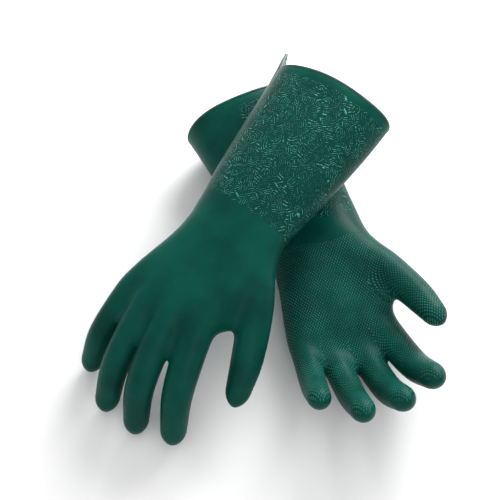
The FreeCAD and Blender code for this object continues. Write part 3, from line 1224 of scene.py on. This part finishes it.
@dataclass(frozen=True)
class Pattern:
    """Where the palm's grip and the cuff's embossing lie on a glove.

    A pair gives where a pattern starts to show and where it shows in full: along the form in
    metres, or as how squarely the skin faces the palm's side.
    """

    cuff_oval: tuple[float, float] = (0.047, 0.030)
    cuff_girth: float = 0.045
    grip_facing: tuple[float, float] = (0.10, 0.40)
    grip_start: tuple[float, float] = (0.012, 0.016)
    grip_bow: float = 0.16
    grip_middle: float = 0.005
    finger_run_in: float = 0.022
    finger_facing: tuple[float, float] = (0.12, 0.42)
    thumb_share: float = 0.35
    thumb_inward: Place = (0.25, -0.55, -0.80)
    emboss_start: tuple[float, float] = (0.004, 0.014)
    emboss_end: tuple[float, float] = (0.007, 0.011)
    bare_from: tuple[float, float] = (140.0, 158.0)
    bare_to: tuple[float, float] = (246.0, 268.0)

    def around(self, cuff_places: np.ndarray) -> np.ndarray:
        """The angle of each place round the cuff, from the thumb's side over the back."""
        wide, high = self.cuff_oval
        return np.arctan2(cuff_places[:, 2] / high, cuff_places[:, 1] / wide)

    def palm_side(self, finger: FingerForm, reach: np.ndarray) -> np.ndarray:
        """Which way a finger's palm side faces.

        Args:
            finger: the finger.
            reach: how far along it each place lies.

        Returns:
            One direction per place.
        """
        droops = np.cumsum([finger.droop, *finger.bends])
        joints = np.cumsum([0.0, *finger.lengths])
        tilt = np.radians(np.interp(reach, joints, [*droops, droops[-1]]))
        spread = math.radians(finger.spread)
        down = np.stack([-np.sin(tilt) * math.cos(spread), -np.sin(tilt) * math.sin(spread),
                         -np.cos(tilt)], axis=1)
        if finger.name == "thumb":
            down = unit_rows(down * self.thumb_share + np.array(self.thumb_inward))
        return down

    def palm(self, form: HandForm, places: np.ndarray, owners: np.ndarray,
             on_cuff: np.ndarray) -> tuple[np.ndarray, np.ndarray]:
        """Lays the grip over the palm, the fingers and the thumb.

        Args:
            form: the hand form.
            places: vertices in the form's frame.
            owners: the finger that each belongs to.
            on_cuff: which of them are on the cuff.

        Returns:
            Places across and along the hand and each finger, and how much grip shows.
        """
        angle = self.around(places @ form.cuff_frame())
        across = np.where(on_cuff, angle * self.cuff_girth, places[:, 1])
        weave = np.stack([across, places[:, 0], np.zeros(len(places))], axis=1)
        normals = form.normals(places)
        bowed = places[:, 0] + self.grip_bow * np.abs(places[:, 1] - self.grip_middle)
        grip = smooth_step(-normals[:, 2], *self.grip_facing) * smooth_step(bowed, *self.grip_start)
        for finger in form.fingers():
            reach, aside = finger.along(places)
            mine = (owners == finger.name) & (reach > 0.0)
            share = smooth_step(reach, 0.0, self.finger_run_in)
            for column, own in ((0, finger.root[1] + aside), (1, finger.root[0] + reach)):
                mixed = weave[:, column] * (1 - share) + own * share
                weave[:, column] = np.where(mine, mixed, weave[:, column])
            facing = np.einsum("ij,ij->i", normals, self.palm_side(finger, reach))
            own = smooth_step(facing, *self.finger_facing)
            grip = np.where(mine, grip * (1 - share) + own * share, grip)
        return weave, grip

    def cuff(self, form: HandForm, places: np.ndarray) -> np.ndarray:
        """How much embossing shows: all round but the little finger's side, short of the rim.

        Args:
            form: the hand form.
            places: vertices in the form's frame.

        Returns:
            One share per place.
        """
        cuff_places = places @ form.cuff_frame()
        degrees = np.degrees(self.around(cuff_places)) % 360.0
        shown = smooth_step(-places[:, 0], *self.emboss_start)
        shown = shown * smooth_step(cuff_places[:, 0] + form.cuff_length, *self.emboss_end)
        bare = smooth_step(degrees, *self.bare_from)
        return shown * (1.0 - bare * (1.0 - smooth_step(degrees, *self.bare_to)))


@dataclass(frozen=True)
class Rim:
    """The rim of a cuff: slightly wavy, and drawn out into an ear on the little finger's side.

    Each wave has a count round the rim, a start and a height.
    """

    ear: float
    run_in: float = 0.045
    waves: tuple[tuple[float, float, float], ...] = ((2.0, 0.6, 0.9 * MM), (3.0, 2.1, 0.6 * MM))
    flutes: float = 5.0
    flute_turn: float = 40.0
    flute_depth: float = 0.5 * MM
    ear_place: float = 171.0
    ear_widths: tuple[float, float] = (14.0, 26.0)
    ear_power: float = 1.5
    ear_run_in: float = 0.034
    ear_flare: float = -0.32

    def shape(self, cuff_places: np.ndarray, angle: np.ndarray, length: float) -> np.ndarray:
        """Moves the places near the rim.

        Args:
            cuff_places: vertices in the cuff's frame.
            angle: each one's angle round the cuff.
            length: the cuff's length.

        Returns:
            The moved vertices, in the same frame.
        """
        rim = smooth_step(-cuff_places[:, 0], length - self.run_in, length)
        close = smooth_step(-cuff_places[:, 0], length - self.ear_run_in, length)
        away = (np.degrees(angle) % 360.0 - self.ear_place + 180.0) % 360.0 - 180.0
        away = np.where(away < 0.0, -away / self.ear_widths[0], away / self.ear_widths[1])
        peak = self.ear * np.clip(1.0 - away, 0.0, 1.0) ** self.ear_power
        wave = sum(np.sin(count * angle + start) * height for count, start, height in self.waves)
        flute = np.sin(self.flutes * angle + cuff_places[:, 0] * self.flute_turn)
        flute = flute * self.flute_depth * rim
        return cuff_places + np.stack([
            -(wave * rim + peak * close),
            flute * np.cos(angle) + self.ear_flare * peak * close,
            flute * np.sin(angle)], axis=1)


@dataclass
class Glove:
    """One glove: its skin, its rim bead and its lining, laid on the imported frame.

    The lining's depths are how far under the skin its two faces lie.  A fold starts and ends the
    fold_before and fold_after lengths from its joint, and the skin is cut the fold_gap before it.
    The reaches and edges are how near to a cut, a root, the wrist or the rim a place counts.
    """

    side: Side
    form: HandForm
    rim: Rim
    pattern: Pattern = Pattern()
    cell: float = 1.6 * MM
    rubber_wall: float = 1.2 * MM
    lining_depth: tuple[float, float] = (1.3 * MM, 1.9 * MM)
    bead_radius: float = 1.35 * MM
    bead_sides: int = 14
    fold_before: float = 7.0 * MM
    fold_after: float = 9.5 * MM
    fold_gap: float = 0.5 * MM
    middle_cut: float = 0.5
    cut_cells: int = 3
    cut_reach: float = 20.0 * MM
    root_reach: float = 12.0 * MM
    wrist_edge: float = 2.0 * MM
    rim_edge: float = 1.0 * MM
    on_plane: float = 1e-7
    weld: float = 1e-6
    pieces: list[bpy.types.Object] = field(default_factory=list)

    @property
    def body(self) -> str:
        """The body that the hand and the cuff ride on."""
        return self.side.label + "_glove"

    def mirrored(self, points: np.ndarray) -> np.ndarray:
        """Places of the form, mirrored for the left glove."""
        return points * np.array([1.0, self.side.mirror, 1.0])

    def world(self, points: np.ndarray) -> np.ndarray:
        """Places of the form in the row frame."""
        return self.mirrored(points) @ self.turn.T + self.place

    def lay(self, joints: dict[str, dict]) -> None:
        """Finds how the form lies, by matching its finger folds with the frame's joints.

        Args:
            joints: the record's joints, by name.
        """
        folds = []
        there = []
        for finger in self.form.fingers():
            places = finger.points()
            for index, joint in ((1, "bend"), (2, "curl")):
                folds.append(places[index])
                name = "%s_%s_%s" % (self.side.label, finger.name, joint)
                there.append(joints[name]["pos_m"])
        here = self.mirrored(np.array(folds))
        here_mid = np.mean(here, axis=0)
        there_mid = np.mean(there, axis=0)
        spread = (here - here_mid).T @ (np.array(there) - there_mid)
        u, _, vt = np.linalg.svd(spread)
        flip = np.diag([1.0, 1.0, np.sign(np.linalg.det(vt.T @ u.T))])
        self.turn = vt.T @ flip @ u.T
        self.place = there_mid - self.turn @ here_mid
        miss = np.abs(self.world(np.array(folds)) - there).max()
        LOG.info("%s glove lies within %.2f mm of its joints", self.side.label, miss / MM)

    def cut_planes(self) -> list[tuple[str, np.ndarray, np.ndarray]]:
        """Finds where the skin is cut, twice across each finger.

        Returns:
            For each cut, its finger, a place on it and the direction that it faces.
        """
        planes = []
        for finger in self.form.fingers():
            knuckle, root, middle, _ = finger.points()
            first = unit(root - knuckle)
            start = root - first * (self.fold_before + self.fold_gap)
            planes.append((finger.name, start, first))
            second = root + (middle - root) * self.middle_cut
            planes.append((finger.name, second, unit(middle - root)))
        return planes

    def cut(self, solid: bmesh.types.BMesh, faces: list[bmesh.types.BMFace], place: np.ndarray,
            way: np.ndarray, trim: bool = False) -> None:
        """Cuts some faces of a mesh along a plane.

        Args:
            solid: the mesh.
            faces: the faces that may be cut.
            place: a place on the plane.
            way: the direction that it faces.
            trim: whether what lies beyond it is taken away.
        """
        geometry = dict.fromkeys(item for face in faces
                                 for item in (face, *face.edges, *face.verts))
        bmesh.ops.bisect_plane(solid, geom=list(geometry), dist=self.on_plane, plane_co=place,
                               plane_no=way, clear_outer=trim)

    def make_skin(self) -> None:
        """Makes the whole skin and cuts it at the rim, at the wrist and across every finger."""
        vertices, quads = SkinNet(self.cell).mesh(self.form)
        solid = bmesh.new()
        for place in vertices.tolist():
            solid.verts.new(place)
        solid.verts.ensure_lookup_table()
        for quad in quads.tolist():
            solid.faces.new([solid.verts[i] for i in quad])
        out = self.form.cuff_out()
        self.cut(solid, solid.faces[:], out * self.form.cuff_length, out, trim=True)
        self.cut(solid, solid.faces[:], np.zeros(3), np.array([1.0, 0.0, 0.0]))
        for name, place, way in self.cut_planes():
            centres = np.array([f.calc_center_median() for f in solid.faces])
            near = np.abs((centres - place) @ way) < self.cut_cells * self.cell
            near &= np.linalg.norm(centres - place, axis=1) < self.cut_reach
            near &= self.owner(centres) == name
            self.cut(solid, [f for f, keep in zip(solid.faces, near) if keep], place, way)
        bmesh.ops.triangulate(solid, faces=solid.faces[:])
        bmesh.ops.dissolve_degenerate(solid, dist=self.weld, edges=solid.edges[:])
        solid.verts.index_update()
        places = np.array([v.co for v in solid.verts])
        triangles = np.array([[v.index for v in f.verts] for f in solid.faces])
        solid.free()
        self.lay_out(places, triangles)

    def owner(self, points: np.ndarray) -> np.ndarray:
        """Finds which finger each point belongs to.

        Args:
            points: places on the form, one per row.

        Returns:
            The fingers' names.
        """
        fingers = self.form.fingers()
        distances = np.stack([f.distance(points) for f in fingers])
        return np.array([f.name for f in fingers])[np.argmin(distances, axis=0)]

    def lay_out(self, places: np.ndarray, triangles: np.ndarray) -> None:
        """Gives the skin its pattern and marks, shapes the rim and splits it into pieces.

        Args:
            places: vertices in the form's frame.
            triangles: vertex numbers, three to a row.
        """
        on_cuff = smooth_step(-places[:, 0], 0.0, self.wrist_edge)
        weave, grip = self.pattern.palm(self.form, places, self.owner(places), on_cuff > 0.5)
        emboss = self.pattern.cuff(self.form, places)
        marks = np.stack([emboss, grip, np.zeros(len(places))], axis=1)
        turned = self.form.cuff_frame()
        cuff_places = places @ turned
        moved = self.rim.shape(cuff_places, self.pattern.around(cuff_places),
                               self.form.cuff_length)
        shaped = np.where((on_cuff > 0.0)[:, None], moved @ turned.T, places)
        if self.side is Side.LEFT:
            triangles = triangles[:, ::-1].copy()
        self.skin = Skin(self.world(shaped), triangles, places, weave, marks)
        self.skin.smooth()
        self.split()

    def split(self) -> None:
        """Sorts the triangles into the glove's pieces by where they lie on the form."""
        triangles = self.skin.triangles
        centres = self.skin.form[triangles].mean(axis=1)
        owners = self.owner(centres)
        self.parts: dict[str, np.ndarray] = {}
        taken = np.zeros(len(triangles), dtype=bool)
        planes = self.cut_planes()
        for finger in self.form.fingers():
            reach, _ = finger.along(centres)
            first, second = [(centres - place) @ way > 0
                             for name, place, way in planes if name == finger.name]
            mine = (owners == finger.name) & first
            mine &= reach > finger.lengths[0] - self.root_reach
            self.parts[finger.name + "_lower"] = triangles[mine & ~second]
            self.parts[finger.name + "_tip"] = triangles[mine & second]
            taken |= mine
        self.parts["cuff"] = triangles[~taken & (centres[:, 0] < 0)]
        self.parts["hand"] = triangles[~taken & (centres[:, 0] >= 0)]

    def keep(self, item: bpy.types.Object, slot: str, nodes: list[str]) -> None:
        """Notes a finished piece.

        Args:
            item: the piece.
            slot: its material slot in the record; not used.
            nodes: the nodes that it stands for.
        """
        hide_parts(*nodes)
        self.pieces.append(item)

    def build_sheets(self, kind: str, slot: str, node: str, depth: tuple[float, float],
                     material: bpy.types.Material) -> None:
        """Makes one layer of the cuff and of the hand, which do not bend.

        Args:
            kind: how the pieces' names end.
            slot: their material slot, with a place for the part's name.
            node: how the names of the nodes that they stand for end.
            depth: how far under the skin the layer's two faces lie.
            material: the finish.
        """
        for part in ("cuff", "hand"):
            name = "%s_%s" % (self.side.label, part)
            item = shell_object(name + kind, self.skin, self.parts[part], depth, material)
            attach(item, self.body)
            self.keep(item, slot.format(part), [name + node])

    def build_shell(self, rubber: bpy.types.Material) -> None:
        """Makes the rubber pieces; the cuff and hand pieces are joined to the glove's body.

        Args:
            rubber: their finish.
        """
        depth = (0.0, self.rubber_wall)
        self.build_sheets("_skin", "{}_rubber", "", depth, rubber)
        for finger in self.form.fingers():
            places = finger.points()
            ways = [unit(b - a) for a, b in zip(places, places[1:])]
            name = "%s_%s" % (self.side.label, finger.name)
            for index, (part, fold) in enumerate((("lower", "root_fold"), ("tip", "middle_fold"))):
                item = shell_object("%s_%s_skin" % (name, part), self.skin,
                                    self.parts["%s_%s" % (finger.name, part)], depth, rubber)
                joint = places[index + 1]
                start, end = self.world(np.array([joint - ways[index] * self.fold_before,
                                                  joint + ways[index + 1] * self.fold_after]))
                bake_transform(item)
                self.keep(item, "finger_rubber", ["%s_%s" % (name, fold), "%s_%s" % (name, part)])

    def build_lining(self, cotton: bpy.types.Material) -> None:
        """Makes the lining of the cuff and of the hand."""
        self.build_sheets("_lining_knit", "cotton_lining", "_lining", self.lining_depth, cotton)

    def rim_line(self) -> tuple[np.ndarray, np.ndarray, np.ndarray]:
        """Follows the edge of the skin round the rim.

        Returns:
            The places in order, with the skin's normals and form places there.
        """
        edges = open_edges(self.parts["cuff"])
        far = self.skin.form @ self.form.cuff_out() > self.form.cuff_length - self.rim_edge
        follow = {int(a): int(b) for a, b in edges if far[a] and far[b]}
        start = next(iter(follow))
        order = [start]
        while follow[order[-1]] != start:
            order.append(follow[order[-1]])
        return self.skin.vertices[order], self.skin.normals[order], self.skin.form[order]

    def build_bead(self, finish: bpy.types.Material) -> None:
        """Makes the rolled bead that runs all round the rim.

        Args:
            finish: its finish.
        """
        line, normals, form = self.rim_line()
        line = line - normals * self.rubber_wall * 0.5
        ahead = unit_rows(np.roll(line, -1, axis=0) - np.roll(line, 1, axis=0))
        across = unit_rows(np.cross(ahead, normals))
        sides, count = self.bead_sides, len(line)
        turns = np.arange(sides) * math.tau / sides
        rings = (np.cos(turns)[None, :, None] * normals[:, None, :]
                 + np.sin(turns)[None, :, None] * across[:, None, :])
        vertices = (line[:, None, :] + rings * self.bead_radius).reshape(-1, 3)
        i, j = np.meshgrid(np.arange(count), np.arange(sides), indexing="ij")
        i2, j2 = (i + 1) % count, (j + 1) % sides
        a, b, c, d = ((ring * sides + place).ravel()
                      for ring, place in ((i, j), (i2, j), (i2, j2), (i, j2)))
        triangles = np.concatenate([np.stack([a, b, c], 1), np.stack([a, c, d], 1)])
        smooth = rings.reshape(-1, 3)
        faces = triangle_normals(vertices, triangles)
        if np.einsum("ij,ij->i", faces, smooth[triangles[:, 0]]).mean() < 0:
            triangles = triangles[:, ::-1]
        item = make_object(self.side.label + "_rim_bead", vertices, triangles,
                           smooth[triangles].reshape(-1, 3),
                           {"form": np.repeat(form, sides, axis=0)}, finish)
        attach(item, self.body)
        self.keep(item, "rim_bead", [self.side.label + "_bead"])

    def report(self) -> None:
        """Logs each piece and its size."""
        for item in self.pieces:
            LOG.info("%s: %d faces", item.name, len(item.data.polygons))


# ------------------------------------------------------------------ the studio
@dataclass(frozen=True)
class Studio:
    """Floor, lights and camera.  Distances are in metres, angles in degrees, lamps in watts."""

    elevation: float = 60.0
    distance: float = 1.05
    view_width: float = 0.415
    aim: Place = (-0.00990, -0.00400, 0.040)
    sensor: float = 36.0
    floor_size: float = 6.0
    floor_gap: float = 0.2 * MM
    sky: float = 0.80
    key_place: Place = (0.48, 0.90, 0.60)
    key_power: float = 26.0
    key_width: float = 0.80
    front_place: Place = (0.30, -1.30, 1.30)
    front_power: float = 5.0
    front_width: float = 1.2

    def build_floor(self) -> None:
        """Lays the floor at the object's lowest point."""
        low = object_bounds()[0][2]
        mesh = bpy.data.meshes.new("floor")
        half = self.floor_size / 2
        corners = [(-half, -half, 0), (half, -half, 0), (half, half, 0), (-half, half, 0)]
        mesh.from_pydata(corners, [], [(0, 1, 2, 3)])
        mesh.materials.append(Floor().material())
        item = add_to_scene("floor", mesh)
        item.location.z = low - self.floor_gap
        item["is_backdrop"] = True

    def build_camera(self) -> None:
        """Sets the camera."""
        tilt = math.radians(self.elevation)
        data = bpy.data.cameras.new("camera")
        data.sensor_width = self.sensor
        data.lens = self.sensor * self.distance / self.view_width
        item = add_to_scene("camera", data)
        ahead = Vector((0, math.cos(tilt), -math.sin(tilt)))
        item.location = Vector(self.aim) - self.distance * ahead
        item.rotation_euler = (math.pi / 2 - tilt, 0, 0)
        bpy.context.scene.camera = item

    def lamp(self, name: str, place: Place, power: float, width: float) -> None:
        """Adds one soft square light that faces the gloves.

        Args:
            name: the light's name.
            place: where it stands.
            power: how strong it is.
            width: how wide it is.
        """
        data = bpy.data.lights.new(name, "AREA")
        data.energy = power
        data.size = width
        item = add_to_scene(name, data)
        item.location = place
        ahead = Vector(self.aim) - Vector(place)
        item.rotation_euler = ahead.to_track_quat("-Z", "Y").to_euler()

    def build_lights(self) -> None:
        """Adds a soft sky, a key light from behind on the right and a weak fill."""
        world = bpy.data.worlds.new("sky")
        world.use_nodes = True
        background = world.node_tree.nodes["Background"]
        background.inputs["Color"].default_value = (1.0, 1.0, 1.0, 1.0)
        background.inputs["Strength"].default_value = self.sky
        bpy.context.scene.world = world
        self.lamp("key", self.key_place, self.key_power, self.key_width)
        self.lamp("front", self.front_place, self.front_power, self.front_width)
        bpy.context.scene.view_settings.view_transform = "Standard"


def main() -> None:
    """Builds both gloves and the studio, and reports each piece."""
    logging.basicConfig(level=logging.INFO, format="%(name)s: %(message)s")
    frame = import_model()
    joints = {joint["name"]: joint for joint in frame["record"]["behaviour"]["joints"]}
    rubber = Rubber().material()
    bead = Bead().material()
    cotton = Cotton().material()
    right = HandForm(spreads=(12.6, 7.1, 1.5, -8.8), knuckles_out=0.0005, thumb_spread=29.7,
                     thumb_droop=14.8, thumb_out=0.0015, web_out=0.0056, heel_out=-0.0025,
                     cuff_turn=3.3, cuff_pitch=-2.4)
    left = HandForm(spreads=(11.4, 7.7, 1.2, -6.8), knuckles_out=-0.0008, thumb_spread=25.6,
                    thumb_droop=19.5, thumb_out=-0.0044, web_out=0.0, heel_out=0.0060,
                    cuff_turn=12.3, cuff_pitch=0.0)
    gloves = [Glove(Side.RIGHT, right, Rim(ear=19.0 * MM)), Glove(Side.LEFT, left, Rim(ear=0.0))]
    for glove in gloves:
        glove.lay(joints)
        glove.make_skin()
        glove.build_shell(rubber)
        glove.build_lining(cotton)
        glove.build_bead(bead)
        glove.report()
    studio = Studio()
    studio.build_floor()
    studio.build_camera()
    studio.build_lights()


if __name__ == "__main__":
    main()
